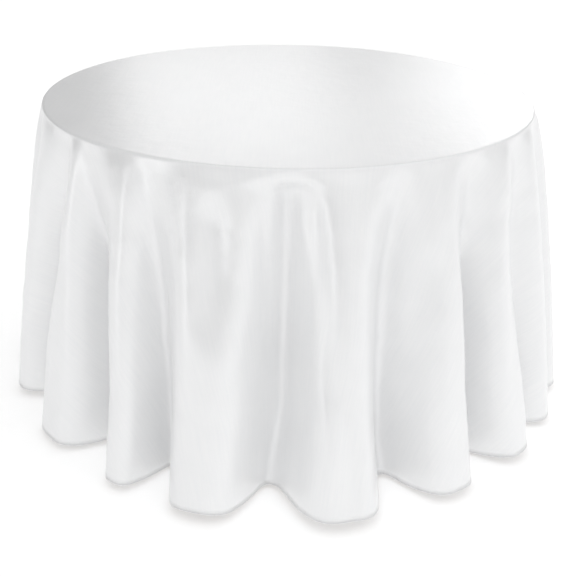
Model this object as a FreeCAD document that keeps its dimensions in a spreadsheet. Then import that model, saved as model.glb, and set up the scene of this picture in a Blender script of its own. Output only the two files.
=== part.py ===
"""A round folding table under a floor-length round tablecloth.

Frame: origin on the floor under the middle of the table, +Z up, millimetres.
Leg frame a stands on the +X side and leg frame b on the -X side.  Both fold
inward about axes along Y, frame b 40 mm lower so that it lies under frame a.
"""
import FreeCAD, Part
import math
import os

doc = FreeCAD.newDocument("table_with_cloth")
sizes = doc.addObject("Spreadsheet::Sheet", "sizes")

VALUES = [
    # the top and its edge
    ("table_high", 762.0, "floor to the top face of the panel"),
    ("panel_radius", 606.5, "plywood panel"),
    ("panel_thick", 18.0, "plywood panel"),
    ("edge_thick", 3.0, "vinyl moulding round the panel"),
    ("tongue_deep", 8.0, "moulding tongue let into the panel"),
    ("tongue_high", 2.0, "moulding tongue"),
    ("edge_round", 2.0, "rounding of the moulding's outer corners"),
    # the wood under it
    ("runner_long", 900.0, "runner, along X"),
    ("runner_wide", 60.0, "runner, along Y"),
    ("runner_high", 20.0, "runner, along Z"),
    ("runner_out", 150.0, "runner middle from the XZ plane"),
    ("fold_gap", 6.0, "folded frame b below the feet of frame a"),
    ("spacer_long", 84.0, "spacer block over frame b, along X"),
    # leg frames
    ("pivot_out", 370.0, "pivot axis from the YZ plane"),
    ("wood_gap", 0.7, "top tube below the wood it is strapped to"),
    ("tube_radius", 14.3, "leg tube, outside"),
    ("tube_wall", 1.5, "leg tube and crossbar wall"),
    ("leg_out", 260.0, "leg middle from the XZ plane"),
    ("bend_radius", 60.0, "bend at the top of each leg"),
    ("bar_radius", 11.0, "crossbar, outside"),
    ("bar_down", 380.0, "crossbar below the pivot axis"),
    ("cap_wall", 2.7, "rubber foot round the tube"),
    ("cap_high", 35.0, "rubber foot"),
    ("cap_sole", 5.0, "rubber under the tube end"),
    ("cap_play", 0.05, "foot socket over the tube"),
    # straps that hold each frame's top tube
    ("strap_wide", 25.0, "strap, along Y"),
    ("strap_thick", 2.5, "strap steel"),
    ("strap_play", 0.08, "strap bore over the tube"),
    ("strap_reach", 36.0, "strap flange end from the pivot axis"),
    ("strap_screw_out", 27.0, "strap screw from the pivot axis"),
    # folding brace on the middle plane
    ("brace_in", 250.0, "top pin from the pivot axis, toward the middle"),
    ("brace_down", 350.0, "leg pin below the pivot axis"),
    ("link_wide", 22.0, "brace link"),
    ("link_thick", 4.0, "brace link"),
    ("link_gap", 1.5, "brace link from the middle plane"),
    ("pin_radius", 4.0, "brace pins"),
    ("pin_play", 0.05, "bores over the pins"),
    ("pin_head", 6.5, "pin head radius"),
    ("pin_head_thick", 2.0, "outer pin head"),
    ("pin_rim_thick", 1.0, "inner pin head"),
    ("side_gap", 0.5, "link to ear or lug, along Y"),
    ("plate_thick", 3.0, "ear and lug steel"),
    ("ear_radius", 15.0, "ear round the top pin"),
    ("ear_flange", 40.0, "ear flange, along Y"),
    ("lug_radius", 12.0, "lug round the leg pin"),
    ("lug_bar_radius", 16.0, "lug round the crossbar"),
    ("mid_pin_short", 0.4, "middle pin stops this short of the lower link"),
    # screws
    ("screw_radius", 2.2, "screw shank"),
    ("screw_head", 4.3, "screw head radius"),
    ("screw_head_thick", 2.4, "screw head"),
    ("screw_tip", 4.0, "pointed end"),
    # the cloth
    ("cloth_thick", 2.4, "wall of the plain cloth solid"),
    ("cloth_lift", 0.3, "cloth over the panel"),
    ("cloth_play", 1.2, "cloth round the edge"),
    ("hem_high", 6.0, "hem above the floor"),
    ("band_under", 6.0, "straight band carries on below the panel"),
]
for row, (alias, value, note) in enumerate(VALUES, start=1):
    sizes.set(f"A{row}", alias)
    sizes.set(f"B{row}", str(value))
    sizes.setAlias(f"B{row}", alias)
    sizes.set(f"C{row}", note)

FORMULAS = [
    ("cap_radius", "tube_radius + cap_wall"),
    ("frame_step", "2 * cap_radius + fold_gap"),
    ("pivot_down", "tube_radius + wood_gap"),
    ("panel_low", "table_high - panel_thick"),
    ("edge_radius", "panel_radius + edge_thick"),
    ("runner_low", "panel_low - runner_high"),
    ("pivot_high_a", "runner_low - pivot_down"),
    ("pivot_high_b", "pivot_high_a - frame_step"),
    ("brace_long", "sqrt(brace_in ^ 2 + brace_down ^ 2)"),
    ("upper_long", "(brace_long - brace_down + brace_in) / 2"),
    ("lower_long", "(brace_long + brace_down - brace_in) / 2"),
    ("brace_slope", "atan(brace_down / brace_in) / 1deg"),
    ("ear_near", "link_gap + link_thick + side_gap"),
]
for row, (alias, formula) in enumerate(FORMULAS, start=len(VALUES) + 2):
    sizes.set(f"A{row}", alias)
    sizes.set(f"B{row}", f"={formula}")
    sizes.setAlias(f"B{row}", alias)
doc.recompute()

ALIASES = sorted([v[0] for v in VALUES] + [f[0] for f in FORMULAS], key=len, reverse=True)
SIDES = {"a": 1, "b": -1}
ENDS = {"front": -1, "back": 1}
ALONG_Y = FreeCAD.Rotation(FreeCAD.Vector(1, 0, 0), -90)
NODES = []


def named(expression):
    """Write each bare value name as a reference to the sheet."""
    words, word = [], ""
    for letter in str(expression) + " ":
        if letter.isalnum() or letter == "_":
            word += letter
        else:
            words.append(f"sizes.{word}" if word in ALIASES else word)
            words.append(letter)
            word = ""
    return "".join(words).strip()


def bind(item, at=None, turn=None, **values):
    """Bind properties and the place of an object to expressions."""
    if turn is not None:
        item.Placement.Rotation = turn
    for name, expression in values.items():
        item.setExpression(name, named(expression))
    for letter, expression in zip("xyz", at or ()):
        item.setExpression(f"Placement.Base.{letter}", named(expression))
    return item


def box(name, length, width, height, at):
    item = doc.addObject("Part::Box", name)
    return bind(item, at, Length=length, Width=width, Height=height)


def rod(name, radius, height, at, turn=None):
    item = doc.addObject("Part::Cylinder", name)
    return bind(item, at, turn, Radius=radius, Height=height)


def cone(name, low_radius, high_radius, height, at):
    item = doc.addObject("Part::Cone", name)
    return bind(item, at, Radius1=low_radius, Radius2=high_radius, Height=height)


def join(name, items):
    item = doc.addObject("Part::MultiFuse", name)
    item.Shapes = items
    item.Refine = True
    return item


def cut(name, base, *tools):
    for count, tool in enumerate(tools, start=1):
        item = doc.addObject("Part::Cut", name if count == len(tools) else f"{name}_cut_{count}")
        item.Base, item.Tool = base, tool
        base = item
    return base


def node(item, label, at=None, turn=None, **values):
    """Make an object a sub-part of the table."""
    item.Label = label
    NODES.append(bind(item, at, turn, **values))
    return item


# ---------------------------------------------------------------- screws
def screw(name, at, length, sunk=False):
    """A wood screw pointing up; at is the middle of the face its head meets."""
    x, y, z = at
    if sunk:
        head = cone(f"{name}_head", "screw_head", "screw_radius", "screw_head_thick", (x, y, z))
    else:
        head = rod(f"{name}_head", "screw_head", "screw_head_thick", (x, y, f"{z} - screw_head_thick"))
    shank = rod(f"{name}_shank", "screw_radius", f"{length} - screw_tip", (x, y, z))
    tip = cone(f"{name}_tip", "screw_radius", "screw_radius / 5", "screw_tip",
               (x, y, f"{z} + {length} - screw_tip"))
    return join(name, [head, shank, tip])


def group(name, screws):
    item = doc.addObject("Part::Compound", name)
    item.Links = screws
    return node(item, name)


runner_screws = group("runner_screws", [
    screw(f"runner_screw_{end}_{count}", (share, f"{way} * runner_out", "runner_low"),
          "(runner_high + panel_thick * 0.7)", sunk=True)
    for end, way in ENDS.items()
    for count, share in enumerate(
        ("-0.45 * runner_long", "-0.15 * runner_long", "0.15 * runner_long", "0.45 * runner_long"), 1)
])
strap_screws = group("strap_screws", [
    screw(f"strap_screw_{side}_{end}_{count}",
          (f"{sign} * pivot_out + {out} * strap_screw_out", f"{way} * runner_out",
           f"pivot_high_{side} + pivot_down - strap_thick"),
          "(strap_thick + 15)" if side == "a" else "(strap_thick + frame_step + 15)")
    for side, sign in SIDES.items()
    for end, way in ENDS.items()
    for count, out in enumerate((-1, 1), 1)
])
bracket_screws = group("bracket_screws", [
    screw(f"bracket_screw_{side}_{count}",
          (f"{sign} * (pivot_out - brace_in)", f"ear_near + {part} * ear_flange",
           "panel_low - plate_thick"), "(plate_thick + panel_thick * 0.7)")
    for side, sign in SIDES.items()
    for count, part in enumerate((0.4, 0.8), 1)
])

# ---------------------------------------------------------------- panel and its edge
groove = cut("groove",
             rod("groove_out", "panel_radius + 5", "tongue_high", (0, 0, "panel_low + (panel_thick - tongue_high) / 2")),
             rod("groove_in", "panel_radius - tongue_deep", "tongue_high",
                 (0, 0, "panel_low + (panel_thick - tongue_high) / 2")))
panel = rod("panel", "panel_radius", "panel_thick", (0, 0, "panel_low"))
node(cut("table_top", panel, groove, runner_screws, bracket_screws), "table_top")

rim = rod("rim", "edge_radius", "panel_thick", (0, 0, "panel_low"))
rounded = doc.addObject("Part::Fillet", "rim_rounded")
rounded.Base = rim
doc.recompute()
rounded.Edges = [
    (number, sizes.edge_round, sizes.edge_round)
    for number, edge in enumerate(rim.Shape.Edges, 1)
    if isinstance(edge.Curve, Part.Circle)
]
band = cut("edge_band", rounded, rod("edge_inside", "panel_radius", "panel_thick", (0, 0, "panel_low")))
tongue = cut("edge_tongue",
             rod("tongue_out", "panel_radius", "tongue_high - 0.1",
                 (0, 0, "panel_low + (panel_thick - tongue_high + 0.1) / 2")),
             rod("tongue_in", "panel_radius - tongue_deep + 0.5", "tongue_high - 0.1",
                 (0, 0, "panel_low + (panel_thick - tongue_high + 0.1) / 2")))
node(join("edge_moulding", [band, tongue]), "edge_moulding")

# ---------------------------------------------------------------- runners and spacers
for end, way in ENDS.items():
    runner = box(f"runner_{end}_blank", "runner_long", "runner_wide", "runner_high",
                 ("-runner_long / 2", f"{way} * runner_out - runner_wide / 2", "runner_low"))
    node(cut(f"runner_{end}", runner, runner_screws, strap_screws), f"runner_{end}")
    spacer = box(f"spacer_{end}_blank", "spacer_long", "runner_wide", "frame_step",
                 ("-pivot_out - spacer_long / 2", f"{way} * runner_out - runner_wide / 2",
                  "runner_low - frame_step"))
    node(cut(f"spacer_{end}", spacer, strap_screws), f"spacer_{end}")


# ---------------------------------------------------------------- leg frames
def bent_tube(name, radius, x, high):
    """Solid of one bent leg frame, feet down."""
    straight = f"{high} - bend_radius - cap_sole"
    pieces = [rod(f"{name}_across", radius, "2 * (leg_out - bend_radius)",
                  (x, "bend_radius - leg_out", high), ALONG_Y)]
    for end, way in ENDS.items():
        pieces.append(rod(f"{name}_leg_{end}", radius, straight, (x, f"{way} * leg_out", "cap_sole")))
        bend = doc.addObject("Part::Torus", f"{name}_bend_{end}")
        outward = FreeCAD.Vector(0, way, 0)
        up = FreeCAD.Vector(0, 0, 1)
        first, second = (outward, up) if way > 0 else (up, outward)
        turn = FreeCAD.Rotation(first, second, first.cross(second), "XYZ")
        bend.Angle3 = 90
        pieces.append(bind(bend, (x, f"{way} * (leg_out - bend_radius)", f"{high} - bend_radius"), turn,
                           Radius1="bend_radius", Radius2=radius))
    return join(name, pieces)


for side, sign in SIDES.items():
    x, high = f"{sign} * pivot_out", f"pivot_high_{side}"
    solid = bent_tube(f"frame_solid_{side}", "tube_radius", x, high)
    hollow = bent_tube(f"frame_hollow_{side}", "tube_radius - tube_wall", x, high)
    node(cut(f"leg_frame_{side}", solid, hollow), f"leg_frame_{side}")

    bar_high = f"{high} - bar_down"
    bar = rod(f"bar_{side}", "bar_radius", "2 * leg_out", (x, "-leg_out", bar_high), ALONG_Y)
    bar_hole = rod(f"bar_hole_{side}", "bar_radius - tube_wall", "2 * leg_out", (x, "-leg_out", bar_high), ALONG_Y)
    node(cut(f"crossbar_{side}", bar, bar_hole, solid), f"crossbar_{side}")

    for end, way in ENDS.items():
        y = f"{way} * leg_out"
        cap = rod(f"foot_{side}_{end}_blank", "cap_radius", "cap_high", (x, y, 0))
        socket = rod(f"foot_{side}_{end}_socket", "tube_radius + cap_play", "cap_high", (x, y, "cap_sole"))
        node(cut(f"foot_{side}_{end}", cap, socket), f"foot_{side}_{end}")

        # a strap of sheet steel folded round the top tube
        low = f"{way} * runner_out - strap_wide / 2"
        outer = "(tube_radius + strap_play + strap_thick)"
        inner = "(tube_radius + strap_play)"
        flange = box(f"strap_{side}_{end}_flange", "2 * strap_reach", "strap_wide", "strap_thick",
                     (f"{x} - strap_reach", low, f"{high} + pivot_down - strap_thick"))
        cheeks = box(f"strap_{side}_{end}_cheeks", f"2 * {outer}", "strap_wide", "pivot_down",
                     (f"{x} - {outer}", low, high))
        saddle = rod(f"strap_{side}_{end}_saddle", outer, "strap_wide", (x, low, high), ALONG_Y)
        bore = rod(f"strap_{side}_{end}_bore", inner, "strap_wide", (x, low, high), ALONG_Y)
        slot = box(f"strap_{side}_{end}_slot", f"2 * {inner}", "strap_wide", "2 * pivot_down",
                   (f"{x} - {inner}", low, high))
        blank = join(f"strap_{side}_{end}_blank", [flange, cheeks, saddle])
        room = join(f"strap_{side}_{end}_room", [bore, slot])
        node(cut(f"strap_{side}_{end}", blank, room, strap_screws), f"strap_{side}_{end}")


# ---------------------------------------------------------------- folding braces
def link(name, length, low, at, slope):
    """A flat bar with rounded ends, drilled for two pins, along its own X."""
    ends = [rod(f"{name}_end_{count}", "link_wide / 2", "link_thick", (x, low, 0), ALONG_Y)
            for count, x in enumerate((0, length))]
    bar = box(f"{name}_bar", length, "link_thick", "link_wide", (0, low, "-link_wide / 2"))
    holes = [rod(f"{name}_hole_{count}", "pin_radius + pin_play", "link_thick", (x, low, 0), ALONG_Y)
             for count, x in enumerate((0, length))]
    item = cut(name, join(f"{name}_blank", ends + [bar]), *holes)
    item.Placement.Rotation = FreeCAD.Rotation(FreeCAD.Vector(0, 1, 0), 1)
    return node(item, name, at, None, **{"Placement.Rotation.Angle": slope})


def pin(name, x, z, low, high, head_low, head_high):
    """A pin along Y from low to high, with a head of its own thickness at each end."""
    pieces = [rod(f"{name}_shank", "pin_radius", f"{high} - ({low})", (x, low, z), ALONG_Y)]
    if head_low:
        pieces.append(rod(f"{name}_head_low", "pin_head", head_low, (x, f"{low} - {head_low}", z), ALONG_Y))
    if head_high:
        pieces.append(rod(f"{name}_head_high", "pin_head", head_high, (x, high, z), ALONG_Y))
    return join(name, pieces)


top_pins = []
for side, sign in SIDES.items():
    high = f"pivot_high_{side}"
    top_x, leg_x = f"{sign} * (pivot_out - brace_in)", f"{sign} * pivot_out"
    leg_z = f"{high} - brace_down"
    mid_x = f"{sign} * (pivot_out - brace_down * lower_long / brace_long * brace_in / brace_down)"
    mid_z = f"{leg_z} + brace_down * lower_long / brace_long"
    upper_turn = "brace_slope * 1deg" if sign > 0 else "(180 - brace_slope) * 1deg"
    lower_turn = "(180 + brace_slope) * 1deg" if sign > 0 else "(360 - brace_slope) * 1deg"
    link(f"brace_upper_{side}", "upper_long", "link_gap", (top_x, 0, high), upper_turn)
    link(f"brace_lower_{side}", "lower_long", "-link_gap - link_thick", (leg_x, 0, leg_z), lower_turn)

    # ear of folded sheet under the panel
    ear = join(f"brace_bracket_{side}_blank", [
        box(f"ear_{side}_plate", "2 * ear_radius", "plate_thick", f"panel_low - {high}",
            (f"{top_x} - ear_radius", "ear_near", high)),
        rod(f"ear_{side}_round", "ear_radius", "plate_thick", (top_x, "ear_near", high), ALONG_Y),
        box(f"ear_{side}_flange", "2 * ear_radius", "ear_flange", "plate_thick",
            (f"{top_x} - ear_radius", "ear_near", "panel_low - plate_thick")),
    ])
    ear_hole = rod(f"ear_{side}_hole", "pin_radius + pin_play", "plate_thick", (top_x, "ear_near", high), ALONG_Y)
    node(cut(f"brace_bracket_{side}", ear, ear_hole, bracket_screws), f"brace_bracket_{side}")

    # lug welded to the crossbar
    lug_low = "-ear_near - plate_thick"
    lug = join(f"leg_lug_{side}_blank", [
        rod(f"lug_{side}_top", "lug_radius", "plate_thick", (leg_x, lug_low, leg_z), ALONG_Y),
        rod(f"lug_{side}_low", "lug_bar_radius", "plate_thick", (leg_x, lug_low, f"{high} - bar_down"), ALONG_Y),
        box(f"lug_{side}_web", "2 * lug_radius", "plate_thick", "bar_down - brace_down",
            (f"{leg_x} - lug_radius", lug_low, f"{high} - bar_down")),
    ])
    lug_hole = rod(f"lug_{side}_hole", "pin_radius + pin_play", "plate_thick", (leg_x, lug_low, leg_z), ALONG_Y)
    bar_seat = rod(f"lug_{side}_seat", "bar_radius", "plate_thick",
                   (leg_x, lug_low, f"{high} - bar_down"), ALONG_Y)
    node(cut(f"leg_lug_{side}", lug, lug_hole, bar_seat), f"leg_lug_{side}")

    top_pins.append(pin(f"brace_top_pin_{side}", top_x, high, "link_gap", "ear_near + plate_thick",
                        "pin_rim_thick", "pin_head_thick"))
    node(pin(f"brace_mid_pin_{side}", mid_x, mid_z, "-link_gap + mid_pin_short", "link_gap + link_thick",
             None, "pin_head_thick"), f"brace_mid_pin_{side}")
    node(pin(f"brace_leg_pin_{side}", leg_x, leg_z, "-ear_near - plate_thick", "-link_gap",
             "pin_head_thick", "pin_rim_thick"), f"brace_leg_pin_{side}")
group("brace_top_pins", top_pins)

# ---------------------------------------------------------------- tablecloth
# One row for each fold of the skirt, anticlockwise seen from above from the
# -Y side: its direction in degrees, how far its crest swings out past the
# table edge at the hem, and how far the hollow after it does.  No hollow comes
# in under the top, so the cloth lifts straight off.
FOLDS = [
    (-72, 124, 10), (-54, 112, 26), (-32, 130, 22), (-14, 158, 2), (10, 174, 12),
    (32, 150, 24), (50, 144, 18), (64, 134, 12), (79, 136, 8), (96, 140, 4),
    (114, 128, 8), (131, 122, 2), (149, 142, 4), (167, 154, 2), (185, 172, 6),
    (203, 148, 12), (220, 130, 6), (238, 140, 3), (255, 146, 8), (271, 134, 12),
]
ROUND = 180  # points round each section


def crest_and_hollow(angle):
    """Hem offset at an angle, split into its crest and hollow parts."""
    for count, (start, crest, hollow) in enumerate(FOLDS):
        after, next_crest, _ = FOLDS[(count + 1) % len(FOLDS)]
        wide = (after - start) % 360
        along = ((angle - start) % 360) / wide
        if along < 1:
            fall = 0.5 - 0.5 * math.cos(2 * math.pi * along)
            return 1 - fall ** 1.6, (crest if along < 0.5 else next_crest), hollow
    raise ValueError(angle)


def section(name, high, inset, swing):
    """A closed wavy wire round the skirt, inset from its outside, at a height."""
    base = sizes.edge_radius + sizes.cloth_play + sizes.cloth_thick
    points = []
    for count in range(ROUND):
        angle = 360.0 * count / ROUND
        lift, crest, hollow = crest_and_hollow(angle)
        out = base + lift * crest * swing ** 0.72 + (1 - lift) * hollow * swing
        bearing = math.radians(angle)
        points.append(FreeCAD.Vector(out * math.sin(bearing), -out * math.cos(bearing), high))
    if inset:
        moved = []
        for count, point in enumerate(points):
            way = points[(count + 1) % ROUND] - points[count - 1]
            inward = FreeCAD.Vector(-way.y, way.x, 0).normalize()
            moved.append(point + inward * inset)
        points = moved
    curve = Part.BSplineCurve()
    curve.interpolate(Points=points, PeriodicFlag=True, Parameters=[float(i) for i in range(ROUND + 1)])
    wire = doc.addObject("Part::Feature", name)
    wire.Shape = Part.Wire(curve.toShape())
    return wire


def skirt(name, inset, levels):
    loft = doc.addObject("Part::Loft", name)
    loft.Sections = [
        section(f"{name}_ring_{count}", high, part, swing)
        for count, (high, part, swing) in enumerate(levels)
    ]
    loft.Solid, loft.Ruled = True, True
    return loft


top_out = sizes.table_high + sizes.cloth_lift + sizes.cloth_thick
top_in = sizes.table_high + sizes.cloth_lift
band_low = sizes.panel_low - sizes.band_under
swings = [0.0, 0.06, 0.13, 0.22, 0.34, 0.5, 0.72, 1.0]
heights = [band_low - part * (band_low - sizes.hem_high) for part in swings]
bevel = sizes.cloth_thick / 2
outside = skirt("cloth_outside", 0, [(top_out, bevel, 0.0), (top_out - bevel, 0, 0.0)]
                + [(high, 0, swing) for high, swing in zip(heights, swings)])
inside = skirt("cloth_inside", sizes.cloth_thick, [(top_in, sizes.cloth_thick, 0.0)]
               + [(high, sizes.cloth_thick, swing) for high, swing in zip(heights, swings)]
               + [(sizes.hem_high - 10, sizes.cloth_thick, 1.0)])
node(cut("tablecloth", outside, inside), "tablecloth")

# ---------------------------------------------------------------- check and write
doc.recompute()
for item in doc.Objects:
    if "Invalid" in item.State or "Error" in item.State:
        raise RuntimeError(f"{item.Name} did not build: {item.State}")
for item in NODES:
    if item.Shape.isNull() or not item.Shape.isValid() or not item.Shape.Solids:
        raise RuntimeError(f"{item.Label} has no valid solid")

os.makedirs("parts", exist_ok=True)
for item in NODES:
    item.Shape.exportStep(f"parts/{item.Label}.step")
print(len(NODES), "nodes written")
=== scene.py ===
import math

import bpy
import numpy as np
from mathutils import Matrix, Vector


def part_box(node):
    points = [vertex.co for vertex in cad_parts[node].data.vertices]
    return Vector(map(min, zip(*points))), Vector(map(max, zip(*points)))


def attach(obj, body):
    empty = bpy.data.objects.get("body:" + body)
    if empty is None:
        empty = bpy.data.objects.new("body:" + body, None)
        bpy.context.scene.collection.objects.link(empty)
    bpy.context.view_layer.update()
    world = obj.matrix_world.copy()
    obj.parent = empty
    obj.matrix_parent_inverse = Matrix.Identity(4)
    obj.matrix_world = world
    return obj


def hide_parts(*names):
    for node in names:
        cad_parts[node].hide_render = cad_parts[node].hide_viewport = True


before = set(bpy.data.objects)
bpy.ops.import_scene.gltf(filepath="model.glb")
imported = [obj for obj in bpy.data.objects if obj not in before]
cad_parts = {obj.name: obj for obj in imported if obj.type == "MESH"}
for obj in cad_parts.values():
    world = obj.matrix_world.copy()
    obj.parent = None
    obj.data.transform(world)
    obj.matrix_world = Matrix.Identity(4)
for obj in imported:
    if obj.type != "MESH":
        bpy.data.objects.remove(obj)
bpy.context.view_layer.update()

# ---------------------------------------------------------------------------------------------
# Sizes, in metres, taken from the frame where the frame has them
# ---------------------------------------------------------------------------------------------
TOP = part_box("table_top")[1].z                # upper face of the table top
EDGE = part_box("edge_moulding")[1].x           # outer radius of the edge moulding
CLOTH_RADIUS = 1.3675                         # the cloth as it was cut, a 108 inch round
CLOTH_THICK = 0.0006
CLOTH_GAP = 0.0006                            # air between the cloth and what it lies on
TURN = 0.006                                  # radius of the cloth's turn over the table's edge
HEM_HIGH = 0.012                              # depth of the turned hem
STITCH_PITCH = 0.0038
STITCH_LONG = 0.0028
THREAD_RADIUS = 0.00025

SECTORS = 360                                 # fabric columns round the cloth, doubled later
TOP_RADII = (0.05, 0.15, 0.26, 0.37, 0.47, 0.545, 0.585, 0.5985)   # fabric rings on the flat top
DROP_RINGS = 27                               # fabric rings down the drop, doubled later
DROP_CROWD = 1.12                             # above 1, the drop's rings crowd towards the table

# How the drop takes its folds, by level: the share of the drop from the edge (0) to the hem (1)
FLARE_POWER = 0.72                            # how soon the crests stand out
SHARP_TOP = 1.1                               # sharpness of every hollow at the edge
SHARP_FULL = 0.9                              # level where a hollow has its own sharpness
SHIFT_FULL = 0.5                              # level where each fold has its own share of fabric
SLACK_START = 0.12                            # spare fabric that is in the folds at the edge
SLACK_SPREAD = 0.55                           # how far down the rest of it comes in
STEEPEST = 0.93                               # the least share of the fabric that goes straight down

# How the draped cloth settles
SIM_FRAMES = 24
HOLD = 0.2                                    # how firmly the drop is held to its drawn shape
BENDING = 2.0
TOP_RINGS = 6                                 # rings left out, which lie flat on the table
HELD_RINGS = 6                                # rings held fast, which turn over the edge
SETTLE = 0.22                                 # share of the settling that the drop takes
WRINKLE = 0.0004                              # usual height of the small wrinkles

LEVELS = (0.1, 0.4, 0.7, 1.0)                 # levels where the folds are set out

# Each fold: the bearing of its crest at those levels, how far the crest stands out at the hem,
# the bearing of the hollow after it, and how sharply the cloth turns into and out of that hollow.
# Bearings are degrees from the front, growing towards +X.
FOLDS = (
    ((-64, -69, -72, -74), 0.124, (-52.6, -59.7, -64.5, -65.5), 2.0, 1.8),
    ((-48.5, -50, -52, -53), 0.116, (-45, -43, -41, -40.5), 2.6, 1.8),
    ((-33, -33, -31, -31), 0.134, (-28.5, -26, -24.8, -25), 2.0, 2.6),
    ((-15, -15.5, -14.5, -15), 0.162, (0.5, 0.4, -0.6, -2.8), 2.4, 2.0),
    ((11.6, 10.8, 10.2, 10), 0.180, (22, 19.8, 19.7, 21.8), 3.0, 2.0),
    ((30, 32, 31.6, 31.5), 0.154, (40, 39.5, 39.2, 41.5), 2.4, 2.4),
    ((48.4, 46, 47, 50), 0.148, (56.5, 57.3, 58.5, 57.6), 2.6, 2.2),
    ((64, 64, 64, 65), 0.138, (71.0, 71.5, 72, 72.5), 2.2, 2.2),
    ((79, 79, 79, 79), 0.138, (88, 87, 87, 87.5), 2.2, 2.0),
    ((97, 96, 96, 96), 0.142, (105, 105, 105, 105), 2.4, 1.8),
    ((113, 114, 114, 114), 0.128, (122, 122, 123, 123), 2.2, 2.2),
    ((131, 131, 131, 131), 0.122, (141, 140, 140, 140), 1.8, 2.4),
    ((150, 149, 149, 149), 0.142, (158, 158, 158, 158), 2.6, 2.0),
    ((166, 167, 167, 167), 0.154, (176, 176, 176, 176), 2.2, 2.6),
    ((186, 185, 185, 185), 0.168, (195, 194, 194, 194), 2.8, 2.0),
    ((202, 203, 203, 203), 0.148, (211, 212, 212, 212), 2.4, 1.8),
    ((221, 220, 220, 220), 0.130, (229, 229, 229, 229), 2.0, 2.4),
    ((237, 238, 238, 238), 0.140, (247, 247, 246, 246), 2.4, 2.4),
    ((256, 255, 255, 255), 0.142, (263, 263, 263, 263), 2.0, 2.2),
    ((273, 271, 271, 271), 0.134, (282, 280, 279, 278), 2.2, 1.8),
)

# Soft dents and ridges (a ridge has a negative depth) within the folds: depth, half width in
# degrees, the levels where it starts and ends, and its line as (level, bearing).
DENTS = (
    (0.022, 3.4, 0.04, 0.52, ((0.10, -13.8), (0.28, -12.5), (0.46, -13.1))),
    (-0.006, 2.6, 0.03, 0.75, ((0.05, -6.5), (0.28, -8.0), (0.48, -9.0), (0.70, -11.5))),
    (0.036, 3.4, 0.00, 0.75, ((0.05, 0.2), (0.20, -0.4), (0.35, -0.8), (0.75, -1.4))),
    (0.014, 1.6, 0.00, 1.05, ((0.00, 1.2), (0.08, 5.0), (0.29, 6.6), (0.56, 8.1), (0.81, 11.3))),
    (-0.012, 1.2, 0.02, 0.95, ((0.06, -2.6), (0.30, -2.2), (0.60, -1.9), (1.00, -1.9))),
    (0.016, 2.2, 0.22, 1.00, ((0.22, 27.5), (0.45, 26.2), (0.70, 25.6), (1.00, 25.5))),
    (0.014, 3.0, 0.04, 0.50, ((0.05, 22.5), (0.30, 20.5), (0.50, 19.8))),
    (0.012, 3.2, 0.00, 0.45, ((0.02, 40.4), (0.40, 39.5))),
    (0.012, 3.0, 0.15, 0.85, ((0.15, 51.5), (0.50, 50.0), (0.80, 49.0))),
    (0.010, 2.6, 0.10, 0.60, ((0.10, -28.5), (0.55, -25.2))),
    (0.008, 2.8, 0.10, 0.95, ((0.10, -36.5), (0.40, -37.0), (1.00, -35.5))),
    (0.008, 3.0, 0.30, 1.05, ((0.30, -51.0), (0.60, -50.0), (1.00, -49.0))),
    (0.010, 3.0, 0.05, 0.60, ((0.10, 101.0), (0.60, 99.0))),
    (0.012, 2.6, 0.10, 0.95, ((0.10, 160.0), (0.95, 164.0))),
    (0.014, 2.8, 0.02, 0.70, ((0.05, 192.0), (0.70, 189.0))),
    (0.010, 2.4, 0.15, 0.90, ((0.15, 224.0), (0.90, 226.0))),
    (0.012, 3.0, 0.05, 0.75, ((0.05, 259.0), (0.75, 257.0))),
)

CRESTS, FLARES, HOLLOWS, SHARP_IN, SHARP_OUT = (np.array(column) for column in zip(*FOLDS))
GRID = np.arange(-90.0, 270.0, 0.25)          # bearings at which an outline is worked out
DEEPEST = 0.165                               # the deepest that a hollow may be
BLUR = 0.7                                    # degrees: how much an outline is softened
DENT_FADE_IN = 0.12                           # levels over which a dent deepens, and fades out
DENT_FADE_OUT = 0.25

# Looks, light and camera
SATIN_METAL = 0.22                            # the metal-like part of the satin's gloss
SATIN_LOW = (0.905, 0.907, 0.91, 1)
SATIN_HIGH = (0.93, 0.931, 0.933, 1)
FLOOR_HALF = 30.0
FLOOR_GLOW = 0.42                             # keeps the floor white where the cloth shades it
WORLD_FRONT = (0.34, -0.3, 0.89)              # direction from which the room is brightest
WORLD_GLOW = (0.25, 1.10)                     # the room's light away from it and towards it
PANEL_FAR = 4.2                               # the two light panels behind the table
PANEL_LOW = 1.62
PANEL_HIGH = 2.6
PANEL_SLANT = 1.19                            # how far their slanting edges lean per metre up
PANEL_LEFT = (-1.16, 0.08, 2.15)              # start and end along X at the bottom, and glow
PANEL_RIGHT = (0.52, 3.2, 3.5)
STRIP_POWER = 3.8                             # soft light low on the left
EYE = Vector((0, -2.5, 1.388))
AIM = Vector((0.0068, 0, 0.218))
CAMERA_ROLL = 1.0                             # degrees
SENSOR = 36.0                                 # millimetres
LENS = 62.375


# ---------------------------------------------------------------------------------------------
# The cloth's shape: an outline at each level, as long as the fabric is there
# ---------------------------------------------------------------------------------------------
def ease(x):
    """Goes smoothly from 0 to 1 as x does."""
    x = np.clip(x, 0.0, 1.0)
    return x * x * (3 - 2 * x)


def marks(level):
    """Bearings of the crests and of the hollows after them at one level."""
    crest = np.array([np.interp(level, LEVELS, row) for row in CRESTS])
    hollow = np.array([np.interp(level, LEVELS, row) for row in HOLLOWS])
    return crest, hollow


def closed_crests(level):
    """Bearings of the crests, with the first one again a full turn later."""
    crest = marks(level)[0]
    return np.append(crest, crest[0] + 360)


def soften(values):
    """Blurs a closed row of values."""
    waves = np.fft.rfft(values)
    rate = np.fft.rfftfreq(len(values), d=GRID[1] - GRID[0])
    return np.fft.irfft(waves * np.exp(-2 * (np.pi * rate * BLUR) ** 2), len(values))


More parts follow.
